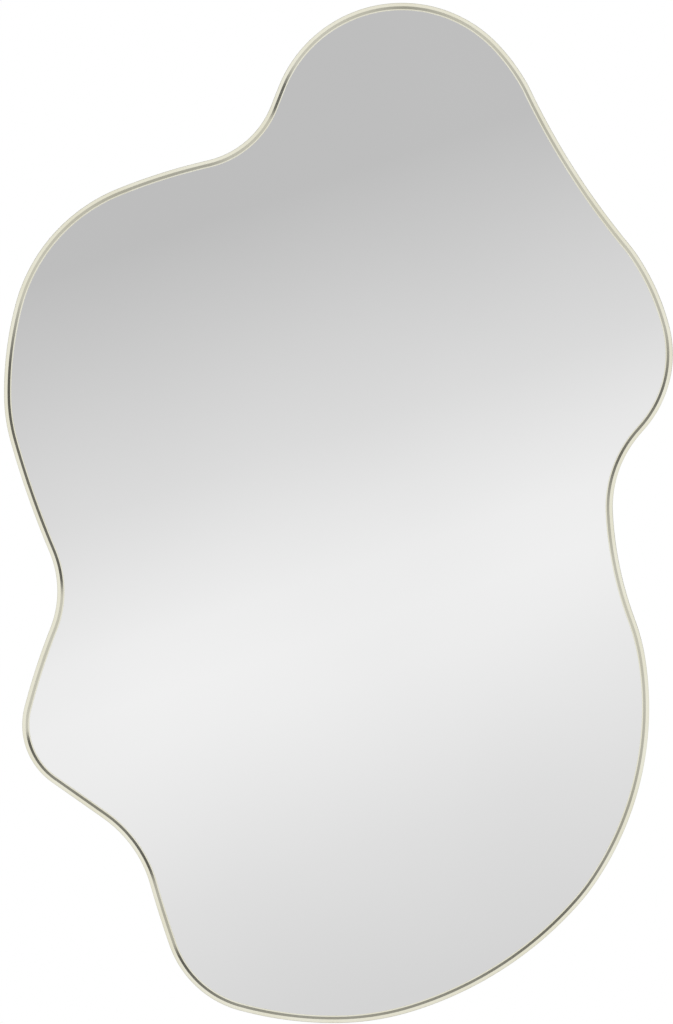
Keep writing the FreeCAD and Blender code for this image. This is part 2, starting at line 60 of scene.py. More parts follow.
def colour(code: str) -> tuple[float, float, float, float]:
    """Turns an sRGB hex colour into the linear one that shaders use.

    Args:
        code: Six hex digits after a hash.

    Returns:
        Red, green, blue and an alpha of 1.
    """
    parts = [int(code[i : i + 2], 16) / 255 for i in (1, 3, 5)]
    linear = [p / 12.92 if p <= 0.04045 else ((p + 0.055) / 1.055) ** 2.4 for p in parts]
    return (*linear, 1.0)


def add_node(
    tree: Any,
    kind: str,
    values: Optional[Mapping] = None,
    links: Optional[Mapping] = None,
    **settings: Any,
) -> Any:
    """Adds one shader node.

    Args:
        tree: The node tree.
        kind: The node's type name after ShaderNode.
        values: What its input sockets are set to, by name or number.
        links: Which output socket feeds each input socket, by name or number.
        **settings: The node's own properties.

    Returns:
        The new node.
    """
    made = tree.nodes.new(f"ShaderNode{kind}")
    for name, value in settings.items():
        setattr(made, name, value)
    for name, value in (values or {}).items():
        made.inputs[name].default_value = value
    for name, socket in (links or {}).items():
        tree.links.new(socket, made.inputs[name])
    return made


def set_ramp(made: Any, stops: Sequence[tuple[float, str]]) -> Any:
    """Gives a colour ramp its stops.

    Args:
        made: The ramp node.
        stops: Position from 0 to 1 and hex colour of each stop.

    Returns:
        The node's colour output.
    """
    ramp = made.color_ramp
    while len(ramp.elements) < len(stops):
        ramp.elements.new(0.5)
    for element, (place, code) in zip(ramp.elements, stops):
        element.position = place
        element.color = colour(code)
    return made.outputs["Color"]


class Finish:
    """A finish: a material made once, on first use, and shared by what wears it."""

    title: str
    _made: ClassVar[dict[str, bpy.types.Material]] = {}

    def material(self) -> bpy.types.Material:
        """Returns the finish's material, made on the first call."""
        if self.title not in Finish._made:
            made = bpy.data.materials.new(self.title)
            made.use_nodes = True
            made.node_tree.nodes.clear()
            surface = self.surface(made.node_tree)
            add_node(made.node_tree, "OutputMaterial", links={"Surface": surface})
            Finish._made[self.title] = made
        return Finish._made[self.title]

    def surface(self, tree: Any) -> Any:
        """Builds the nodes and returns the socket that goes to the output."""
        raise NotImplementedError

    def dress(self, *things: bpy.types.Object) -> None:
        """Gives the finish to every face of each object."""
        for thing in things:
            thing.data.materials.clear()
            thing.data.materials.append(self.material())


# ---------------------------------------------------------------- finishes


@dataclass(frozen=True)
class PlatedSteel(Finish):
    """Steel strip, polished and then plated in champagne gold: pale, warm and softly glossy."""

    title: str = "champagne_plated_steel"
    pale: str = "#E9E7D7"
    deep: str = "#E3E0CD"
    line_length: float = 14 * MM  # polishing lines run along the band
    line_width: float = 0.12 * MM
    smoothest: float = 0.11
    roughest: float = 0.19
    cloud: float = 60 * MM  # the plating's tone drifts slowly round the outline

    def surface(self, tree: Any) -> Any:
        """Metal with faint lines along the band and a slow drift of tone."""
        lines = add_node(tree, "TexCoord").outputs["UV"]
        place = add_node(tree, "TexCoord").outputs["Object"]
        drift = add_node(
            tree, "TexNoise", {"Scale": 1 / self.cloud, "Detail": 2.0}, {"Vector": place}
        )
        tone = add_node(tree, "ValToRGB", links={"Fac": drift.outputs["Fac"]})
        base = set_ramp(tone, [(0.35, self.deep), (0.65, self.pale)])
        stretched = add_node(
            tree,
            "Mapping",
            {"Scale": (1 / self.line_length, 1 / self.line_width, 1.0)},
            {"Vector": lines},
        )
        polish = add_node(
            tree,
            "TexNoise",
            {"Scale": 1.0, "Detail": 3.0, "Roughness": 0.6},
            {"Vector": stretched.outputs[0]},
        )
        gloss = add_node(
            tree,
            "MapRange",
            {"From Min": 0.3, "From Max": 0.7, "To Min": self.smoothest, "To Max": self.roughest},
            {"Value": polish.outputs["Fac"]},
        )
        relief = add_node(
            tree,
            "Bump",
            {"Strength": 0.12, "Distance": 0.01 * MM},
            {"Height": polish.outputs["Fac"]},
        )
        return add_node(
            tree,
            "BsdfPrincipled",
            {"Metallic": 1.0},
            {"Base Color": base, "Roughness": gloss.outputs[0], "Normal": relief.outputs[0]},
        ).outputs[0]


@dataclass(frozen=True)
class SilveredGlass(Finish):
    """Float glass silvered behind: a true mirror, of clear glass that shows no tint head on."""

    title: str = "silvered_float_glass"
    clear: str = "#F4F4F4"
    tinted: str = "#F1F1F1"
    drift: float = 250 * MM  # the tint drifts this slowly across the sheet

    def surface(self, tree: Any) -> Any:
        """Sharp reflection whose tint is all but even."""
        place = add_node(tree, "TexCoord").outputs["Object"]
        sheet = add_node(
            tree, "TexNoise", {"Scale": 1 / self.drift, "Detail": 1.0}, {"Vector": place}
        )
        tone = add_node(tree, "ValToRGB", links={"Fac": sheet.outputs["Fac"]})
        base = set_ramp(tone, [(0.3, self.tinted), (0.7, self.clear)])
        return add_node(
            tree, "BsdfPrincipled", {"Metallic": 1.0, "Roughness": 0.0}, {"Base Color": base}
        ).outputs[0]


@dataclass(frozen=True)
class ZincPlate(Finish):
    """Bright zinc plating on pressed steel: blue-white, slightly cloudy, satin."""

    title: str = "zinc_plated_steel"
    bright: str = "#D9DCDF"
    dull: str = "#B9BDC2"
    warm: str = "#CFCBBE"
    cloud: float = 3 * MM
    grain: float = 0.3 * MM
    smoothest: float = 0.24
    roughest: float = 0.38

    def surface(self, tree: Any) -> Any:
        """Cloudy metal whose dull spots are rougher."""
        place = add_node(tree, "TexCoord").outputs["Object"]
        cloud = add_node(
            tree, "TexNoise", {"Scale": 1 / self.cloud, "Detail": 3.0}, {"Vector": place}
        )
        grain = add_node(
            tree, "TexNoise", {"Scale": 1 / self.grain, "Detail": 2.0}, {"Vector": place}
        )
        tone = add_node(tree, "ValToRGB", links={"Fac": cloud.outputs["Fac"]})
        base = set_ramp(tone, [(0.3, self.dull), (0.5, self.bright), (0.7, self.warm)])
        gloss = add_node(
            tree,
            "MapRange",
            {"From Min": 0.3, "From Max": 0.7, "To Min": self.roughest, "To Max": self.smoothest},
            {"Value": cloud.outputs["Fac"]},
        )
        relief = add_node(
            tree, "Bump", {"Strength": 0.2, "Distance": 0.02 * MM}, {"Height": grain.outputs["Fac"]}
        )
        return add_node(
            tree,
            "BsdfPrincipled",
            {"Metallic": 1.0},
            {"Base Color": base, "Roughness": gloss.outputs[0], "Normal": relief.outputs[0]},
        ).outputs[0]


@dataclass(frozen=True)
class Fibreboard(Finish):
    """Medium density fibreboard, sanded: tan, with short darker and paler wood fibres."""

    title: str = "sanded_fibreboard"
    fibre: float = 0.5 * MM  # fibres are finer than this; drawn as coarse as they show
    fleck: float = 2.5 * MM
    fleck_lean: float = 0.5  # radians that the flecks lean
    fleck_stretch: float = 0.35  # below 1 they are longer than wide
    cloud: float = 90 * MM
    fibre_tones: tuple[str, str, str] = ("#8C6B48", "#AB8A63", "#C3A57E")

    def surface(self, tree: Any) -> Any:
        """Felted fibres and darker flecks over slow clouds."""
        place = add_node(tree, "TexCoord").outputs["Object"]
        felt = add_node(
            tree,
            "TexNoise",
            {"Scale": 1 / self.fibre, "Detail": 4.0, "Roughness": 0.7, "Distortion": 1.5},
            {"Vector": place},
        )
        lie = add_node(
            tree,
            "Mapping",
            {"Rotation": (0.0, self.fleck_lean, 0.0), "Scale": (1.0, 1.0, self.fleck_stretch)},
            {"Vector": place},
        )
        flecks = add_node(
            tree,
            "TexVoronoi",
            {"Scale": 1 / self.fleck, "Randomness": 1.0},
            {"Vector": lie.outputs[0]},
        )
        clouds = add_node(
            tree, "TexNoise", {"Scale": 1 / self.cloud, "Detail": 3.0}, {"Vector": place}
        )
        body = add_node(tree, "ValToRGB", links={"Fac": felt.outputs["Fac"]})
        base = set_ramp(body, list(zip((0.25, 0.5, 0.75), self.fibre_tones)))
        spots = add_node(tree, "ValToRGB", links={"Fac": flecks.outputs["Distance"]})
        dark = set_ramp(spots, [(0.05, "#C9B596"), (0.22, "#FFFFFF")])
        flecked = add_node(
            tree,
            "Mix",
            {"Factor": 0.55},
            {"A": base, "B": dark},
            data_type="RGBA",
            blend_type="MULTIPLY",
        )
        shade = add_node(tree, "ValToRGB", links={"Fac": clouds.outputs["Fac"]})
        slow = set_ramp(shade, [(0.3, "#EDE8E0"), (0.7, "#FFFFFF")])
        final = add_node(
            tree,
            "Mix",
            {"Factor": 1.0},
            {"A": flecked.outputs["Result"], "B": slow},
            data_type="RGBA",
            blend_type="MULTIPLY",
        )
        relief = add_node(
            tree, "Bump", {"Strength": 0.35, "Distance": 0.1 * MM}, {"Height": felt.outputs["Fac"]}
        )
        return add_node(
            tree,
            "BsdfPrincipled",
            {"Roughness": 0.78},
            {"Base Color": final.outputs["Result"], "Normal": relief.outputs[0]},
        ).outputs[0]


@dataclass(frozen=True)
class Grained(Finish):
    """A dull moulded or foamed stuff with an even grain: rubber, foam or film."""

    title: str
    light: str
    dark: str
    grain: float
    roughness: float
    relief: float

    def surface(self, tree: Any) -> Any:
        """Two close tones and a fine relief from one grain."""
        place = add_node(tree, "TexCoord").outputs["Object"]
        grain = add_node(
            tree, "TexNoise", {"Scale": 1 / self.grain, "Detail": 3.0}, {"Vector": place}
        )
        tone = add_node(tree, "ValToRGB", links={"Fac": grain.outputs["Fac"]})
        base = set_ramp(tone, [(0.3, self.dark), (0.7, self.light)])
        bump = add_node(
            tree,
            "Bump",
            {"Strength": 0.5, "Distance": self.relief},
            {"Height": grain.outputs["Fac"]},
        )
        return add_node(
            tree,
            "BsdfPrincipled",
            {"Roughness": self.roughness},
            {"Base Color": base, "Normal": bump.outputs[0]},
        ).outputs[0]


# Moulded natural rubber: near black, dull, with the fine spark grain of its mould.
RUBBER = Grained("moulded_black_rubber", "#2B2B2C", "#1D1D1E", 0.4 * MM, 0.72, 0.03 * MM)
# Closed-cell polyethylene foam tape: white and dull, with cells about 0.5 mm across.
FOAM = Grained("closed_cell_foam", "#ECEBE7", "#D6D5D0", 0.5 * MM, 0.9, 0.15 * MM)
# Polyethylene safety film with its woven backing: milky grey-blue and slightly shiny.
FILM = Grained("woven_safety_film", "#D3DADD", "#B7C0C5", 1.0 * MM, 0.45, 0.05 * MM)
# The grey back paint over the silver.
PAINT = Grained("mirror_back_paint", "#8F9396", "#7C8184", 2.0 * MM, 0.6, 0.02 * MM)
PLATING = PlatedSteel()
SILVERED = SilveredGlass()
ZINC = ZincPlate()
BOARD = Fibreboard()


# ---------------------------------------------------------------- the outline


class Bend(NamedTuple):
    """One named circle of the outline and the blend from it to the next, in millimetres.

    x and z are from the lower left corner of the outline's box. A hollow has its centre outside
    the mirror. blend is the radius of the arc to the next bend, 0 for a straight one, below 0
    where it curves in.
    """

    name: str
    x: float
    z: float
    radius: float
    hollow: bool
    blend: float


BOX_WIDTH, BOX_HEIGHT = 590, 900
CORNER = Vector((-301, 0, -660))  # the box's lower left corner, from the hanging point
BENDS = [
    Bend("neck", 162, 838, 79, True, 529),
    Bend("temple", 157, 595, 152, False, 303),
    Bend("cheek", 156, 555, 156, False, 824),
    Bend("hollow", -42, 381, 89, True, 592),
    Bend("toe", 78, 263, 62, False, 0),
    Bend("arch", 26, 93, 107, True, 978),
    Bend("heel", 231, 98, 90, False, 317),
    Bend("belly", 292, 232, 232, False, 323),
    Bend("thigh", 365, 231, 190, False, 275),
    Bend("hip", 387, 293, 181, False, -315),
    Bend("waist", 635, 455, 98, True, 0),
    Bend("nose", BOX_WIDTH - 100, 590, 100, False, 203),
    Bend("brow", 464, 614, 114, False, -663),
    Bend("shoulder", 376, 781, 98, False, 175),
    Bend("crown", 351, BOX_HEIGHT - 117, 117, False, 0),
]


class Stretch(NamedTuple):
    """A stretch of a path in the plane of the face, in metres: an arc or, with no centre, a line.

    radius is signed: below 0 the path turns clockwise about the centre, seen from the front.
    """

    centre: Optional[Vector]
    radius: float
    start: Vector
    end: Vector

    def sweep(self) -> float:
        """The angle that an arc turns through, in radians."""
        arms = [p - self.centre for p in (self.start, self.end)]
        first, last = (math.atan2(a.z, a.x) for a in arms)
        turn = last - first if self.radius > 0 else first - last
        return turn % math.tau

    def length(self) -> float:
        """The stretch's length along the path."""
        if self.centre is None:
            return (self.end - self.start).length
        return abs(self.radius) * self.sweep()


@dataclass(frozen=True)
class Outline:
    """The wavy outline, as arcs and lines that are each tangent to the next."""

    bends: Sequence[Bend] = field(default_factory=lambda: BENDS)

    def centre(self, bend: Bend) -> Vector:
        """Where a bend's circle has its centre."""
        return (CORNER + Vector((bend.x, 0, bend.z))) * MM

    def radius(self, bend: Bend) -> float:
        """A bend's radius, below 0 for a hollow."""
        return bend.radius * MM * (-1 if bend.hollow else 1)

    def join(self, first: Bend, second: Bend) -> tuple[Vector, Vector, Optional[Vector]]:
        """How one bend blends into the next.

        Args:
            first: The bend that the blend leaves.
            second: The bend that it meets.

        Returns:
            The inward normals where it leaves and meets, and its centre unless it is straight.
        """
        near_centre, far_centre = self.centre(first), self.centre(second)
        near_radius, far_radius = self.radius(first), self.radius(second)
        along = far_centre - near_centre
        gap = along.length
        along.normalize()
        left = Vector((-along.z, 0, along.x))
        if not first.blend:
            lean = (far_radius - near_radius) / gap
            normal = along * lean + left * math.sqrt(1 - lean**2)
            return normal, normal, None
        near = first.blend * MM - near_radius
        far = first.blend * MM - far_radius
        reach = (near**2 - far**2 + gap**2) / (2 * gap)
        side = math.copysign(math.sqrt(near**2 - reach**2), first.blend)
        middle = near_centre + along * reach + left * side
        return (middle - near_centre) / near, (middle - far_centre) / far, middle

    def stretches(self) -> list[Stretch]:
        """The whole outline, anticlockwise as seen from the front."""
        count = len(self.bends)
        joins = [self.join(self.bends[i], self.bends[(i + 1) % count]) for i in range(count)]
        run = []
        for i, bend in enumerate(self.bends):
            after = self.bends[(i + 1) % count]
            centre, radius = self.centre(bend), self.radius(bend)
            leave, meet, middle = joins[i]
            start = centre - joins[i - 1][1] * radius
            end = centre - leave * radius
            far = self.centre(after) - meet * self.radius(after)
            run.append(Stretch(centre, radius, start, end))
            run.append(Stretch(middle, bend.blend * MM, end, far))
        return run


# ---------------------------------------------------------------- mesh helpers

JOIN = 0.01 * MM  # vertices closer than this are one
SHORTEST = 1e-7  # a stretch shorter than this is none, in metres
CREASE = 35  # edges from this angle are eased, in degrees
COPLANAR = 0.6  # faces within this angle are one, in degrees


def finish_mesh(
    bm: bmesh.types.BMesh, name: str, finish: Finish, sharp: float = 40
) -> bpy.types.Object:
    """Turns a bmesh into an object at the origin.

    Args:
        bm: The mesh, which is freed.
        name: The piece's name.
        finish: What it is made of.
        sharp: The angle in degrees from which an edge shows as a crease.

    Returns:
        The new object, linked to the scene.
    """
    for face in bm.faces:
        face.smooth = True
    mesh = bpy.data.meshes.new(name)
    bm.to_mesh(mesh)
    bm.free()
    mesh.set_sharp_from_angle(angle=math.radians(sharp))
    thing = bpy.data.objects.new(name, mesh)
    bpy.context.scene.collection.objects.link(thing)
    finish.dress(thing)
    LOG.info("%s: %d faces", name, len(mesh.polygons))
    return thing


def sweep_loop(
    bm: bmesh.types.BMesh,
    ring: list[bmesh.types.BMVert],
    path: Iterable[Stretch],
    step: float,
    turn: float,
) -> None:
    """Sweeps a closed section round a closed path and joins the end to the start.

    Each face carries a UV in metres: U along the path and V round the section. Each stretch is
    swept in a mesh of its own, which keeps the work short.

    Args:
        bm: The mesh that holds the section.
        ring: The section's vertices in order.
        path: The stretches of the path, from where the section lies.
        step: The longest face along an arc, in metres.
        turn: The most that a face may turn, in degrees.
    """
    places = [vert.co.copy() for vert in ring]
    bmesh.ops.delete(bm, geom=ring, context="VERTS")
    count = len(places)
    girth = [0.0]
    for i, place in enumerate(places):
        girth.append(girth[-1] + (places[(i + 1) % count] - place).length)
    swept = bpy.data.meshes.new("swept_stretch")
    walked = 0.0
    for stretch in path:
        length = stretch.length()
        if length < SHORTEST:
            continue
        part = bmesh.new()
        row = part.verts.layers.int.new("row")
        uv = part.loops.layers.uv.new("UVMap")
        verts = [part.verts.new(place) for place in places]
        for i, vert in enumerate(verts):
            vert[row] = i
        edges = [part.edges.new((vert, verts[i - 1])) for i, vert in enumerate(verts)]
        if stretch.centre is None:
            steps = 1
            last = bmesh.ops.extrude_edge_only(part, edges=edges)["geom"]
            last = [v for v in last if isinstance(v, bmesh.types.BMVert)]
            bmesh.ops.translate(part, verts=last, vec=stretch.end - stretch.start)
        else:
            angle = stretch.sweep()
            steps = max(2, math.ceil(length / step), math.ceil(math.degrees(angle) / turn))
            last = bmesh.ops.spin(
                part,
                geom=edges,
                cent=stretch.centre,
                axis=TO_FRONT,
                dvec=(0, 0, 0),
                angle=math.copysign(angle, stretch.radius),
                steps=steps,
                use_merge=False,
                use_duplicate=False,
            )["geom_last"]
            last = [v for v in last if isinstance(v, bmesh.types.BMVert)]
        places = [vert.co.copy() for vert in sorted(last, key=lambda v: v[row])]
        part.verts.index_update()
        for face in part.faces:
            rows = [v[row] for v in face.verts]
            closing = max(rows) - min(rows) > 1
            for loop in face.loops:
                along = length * (loop.vert.index // count) / steps
                place = loop.vert[row] or (count if closing else 0)
                loop[uv].uv = (walked + along, girth[place])
        part.verts.layers.int.remove(row)
        part.to_mesh(swept)
        part.free()
        bm.from_mesh(swept)
        walked += length
    bpy.data.meshes.remove(swept)
    bmesh.ops.remove_doubles(bm, verts=bm.verts, dist=JOIN)
    bmesh.ops.recalc_face_normals(bm, faces=bm.faces)


class Corner(NamedTuple):
    """A corner of a section: two coordinates and the length that its rounding takes, in metres."""

    across: float
    depth: float
    rounding: float = 0.0
    segments: int = 4


def rounded_ring(
    bm: bmesh.types.BMesh, corners: Sequence[Corner], at: Matrix
) -> list[bmesh.types.BMVert]:
    """Draws a closed section with rounded corners, as a loop of edges.

    Args:
        bm: The mesh to draw in.
        corners: The section's corners in order.
        at: Where the section's plane lies.

    Returns:
        The loop's vertices in order.
    """
    verts = [bm.verts.new(at @ Vector((c.across, c.depth, 0))) for c in corners]
    bm.faces.new(verts)
    for vert, corner in zip(verts, corners):
        if corner.rounding:
            bmesh.ops.bevel(
                bm,
                geom=[vert],
                offset=corner.rounding,
                segments=corner.segments,
                profile=0.5,
                affect="VERTICES",
                material=-1,
            )
    face = next(iter(bm.faces))
    ring = list(face.verts)
    bmesh.ops.delete(bm, geom=[face], context="FACES_ONLY")
    return ring


def flatten(thing: bpy.types.Object) -> None:
    """Makes the broad faces of a piece shade flat, so that only its rounded edges shade round."""
    thing.modifiers.new("broad_faces_flat", "WEIGHTED_NORMAL").keep_sharp = True


def refined(node: str, name: str, finish: Finish, edge: float) -> bpy.types.Object:
    """A copy of a CAD piece with its sharp edges eased, which stands for the piece.

    Args:
        node: The CAD piece.
        name: The new piece's name.
        finish: What it is made of.
        edge: How wide the eased edges are, in metres.

    Returns:
        The new piece.
    """
    bm = bmesh.new()
    bm.from_mesh(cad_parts[node].data)
    bmesh.ops.remove_doubles(bm, verts=bm.verts, dist=JOIN)
    bmesh.ops.dissolve_limit(bm, angle_limit=math.radians(COPLANAR), verts=bm.verts, edges=bm.edges)
    limit = math.radians(CREASE)
    creases = [e for e in bm.edges if e.is_manifold and e.calc_face_angle(0) > limit]
    bmesh.ops.bevel(
        bm,
        geom=creases,
        offset=edge,
        segments=2,
        profile=0.5,
        affect="EDGES",
        material=-1,
        clamp_overlap=True,
    )
    bmesh.ops.remove_doubles(bm, verts=bm.verts, dist=JOIN)
    bmesh.ops.dissolve_degenerate(bm, dist=JOIN, edges=bm.edges)
    thing = finish_mesh(bm, name, finish)
    flatten(thing)
    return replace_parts(thing, node)


def placed(bm: bmesh.types.BMesh, source: bpy.types.Mesh, at: Matrix) -> None:
    """Adds a copy of a mesh to a bmesh at a place."""
    known = len(bm.verts)
    bm.from_mesh(source)
    bm.verts.ensure_lookup_table()
    bmesh.ops.transform(bm, matrix=at, verts=bm.verts[known:])


# ---------------------------------------------------------------- the front


@dataclass
class Front:
    """The rim and the silvered glass that it holds. Depths are in front of the room's wall."""

    rim_rear: float = 1.0 * MM
    rim_front: float = 26.0 * MM
    wall: float = 1.5 * MM
    band: float = 2.85 * MM
    bevel: float = 2.6 * MM
    bevel_drop: float = 1.8 * MM
    land: float = 0.75 * MM
    glass_front: float = 23.5 * MM
    outer_round: float = 0.45 * MM
    band_round: float = 0.35 * MM
    lip_round: float = 0.12 * MM
    rear_round: float = 0.2 * MM
    outline: Outline = field(default_factory=Outline)

    def section(self) -> list[Corner]:
        """The rim's section, across from its outer face and deep from the wall."""
        lip = self.band + self.bevel + self.land
        land_depth = self.rim_front - self.bevel_drop
        return [
            Corner(0.0, -self.rim_rear, self.rear_round, 2),
            Corner(0.0, -self.rim_front, self.outer_round, 7),
            Corner(self.band, -self.rim_front, self.band_round, 4),
            Corner(self.band + self.bevel, -land_depth, self.band_round, 4),
            Corner(lip, -land_depth, self.lip_round, 3),
            Corner(lip, -self.glass_front, self.lip_round, 2),
            Corner(self.wall, -self.glass_front),
            Corner(self.wall, -self.rim_rear, self.rear_round, 2),
        ]

    def build(self) -> None:
        """Makes the rim and dresses the glass and what is glued behind it."""
        bm = bmesh.new()
        path = self.outline.stretches()
        first = path[0]
        inward = (first.centre - first.start).normalized() * math.copysign(1, first.radius)
        plane = Matrix.Translation(first.start) @ Matrix(
            (
                (inward.x, 0, -inward.z, 0),
                (0, 1, 0, 0),
                (inward.z, 0, inward.x, 0),
                (0, 0, 0, 1),
            )
        )
        ring = rounded_ring(bm, self.section(), plane)
        sweep_loop(bm, ring, path, step=8 * MM, turn=2.0)
        rim = finish_mesh(bm, "rim_band", PLATING, 60)
        flatten(rim)
        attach(rim, "mirror")
        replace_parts(rim, "frame_rim")
        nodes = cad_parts
        SILVERED.dress(nodes["mirror_glass"])
        PAINT.dress(nodes["silver_coat"])
        FILM.dress(nodes["safety_film"])
        FOAM.dress(*(o for n, o in nodes.items() if n.startswith("tape_strip")))


# ---------------------------------------------------------------- the back

FIRST_TURN, NEXT_TURN = 17, 53  # how far round the screws end up, in degrees


class Side(Enum):
    """The two hangers, by the side they are on as seen from the front."""

    LEFT = -1
    RIGHT = 1


@dataclass(frozen=True)
class PanHead:
    """A pan-head screw's head with its cross recess, the underside at the origin, facing +Y.

    dome holds points of the profile and the arm values the recess's arms, all as shares of the
    radius and the height.
    """

    radius: float = 3.5 * MM
    height: float = 2.2 * MM
    steps: int = 40
    dome: Sequence[tuple[float, float]] = (
        (0, 0),
        (1, 0),
        (1, 0.35),
        (0.96, 0.62),
        (0.84, 0.84),
        (0.62, 0.97),
        (0.3, 1),
        (0, 1),
    )
    arm_length: float = 1.3
    arm_width: float = 0.27
    arm_reach: float = 1.7
    arm_middle: float = 1.15
    arm_taper: tuple[float, float, float] = (0.4, 1, 0.6)  # how the arms narrow at their foot

    def blank(self) -> bpy.types.Mesh:
        """The head before its recess is cut."""
        bm = bmesh.new()
        places = [Vector((x * self.radius, y * self.height, 0)) for x, y in self.dome]
        line = [bm.verts.new(place) for place in places]
        edges = [bm.edges.new(pair) for pair in zip(line, line[1:])]
        bmesh.ops.spin(
            bm,
            geom=edges,
            cent=(0, 0, 0),
            axis=(0, 1, 0),
            dvec=(0, 0, 0),
            angle=math.tau,
            steps=self.steps,
            use_merge=True,
        )
        bmesh.ops.remove_doubles(bm, verts=bm.verts, dist=JOIN)
        bmesh.ops.recalc_face_normals(bm, faces=bm.faces)
        mesh = bpy.data.meshes.new("screw_head")
        bm.to_mesh(mesh)
        bm.free()
        return mesh

    def cross(self) -> bpy.types.Mesh:
        """What the recess takes out: two crossed arms that taper downwards."""
        bm = bmesh.new()
        size = (self.arm_length * self.radius, self.arm_reach * self.height)
        for turn in (0, 90):
            made = bmesh.ops.create_cube(bm, size=1.0)["verts"]
            arm = Matrix.Rotation(math.radians(turn), 4, "Y") @ Matrix.Diagonal(
                (*size, self.arm_width * self.radius, 1)
            )
            bmesh.ops.transform(bm, matrix=arm, verts=made)
            low = [v for v in made if v.co.y < 0]
            bmesh.ops.scale(bm, vec=self.arm_taper, verts=low)
            bmesh.ops.translate(bm, vec=(0, self.arm_middle * self.height, 0), verts=made)
        mesh = bpy.data.meshes.new("cross_recess")
        bm.to_mesh(mesh)
        bm.free()
        return mesh

    def mesh(self) -> bpy.types.Mesh:
        """The finished head, in metres."""
        whole = bpy.data.objects.new("screw_master", self.blank())
        tool = bpy.data.objects.new("recess_master", self.cross())
        for thing in (whole, tool):
            bpy.context.scene.collection.objects.link(thing)
        cut = whole.modifiers.new("recess", "BOOLEAN")
        cut.operation = "DIFFERENCE"
        cut.solver = "EXACT"
        cut.use_self = True
        cut.object = tool
        graph = bpy.context.evaluated_depsgraph_get()
        result = bpy.data.meshes.new_from_object(whole.evaluated_get(graph))
        for thing in (whole, tool):
            bpy.data.objects.remove(thing)
        return result


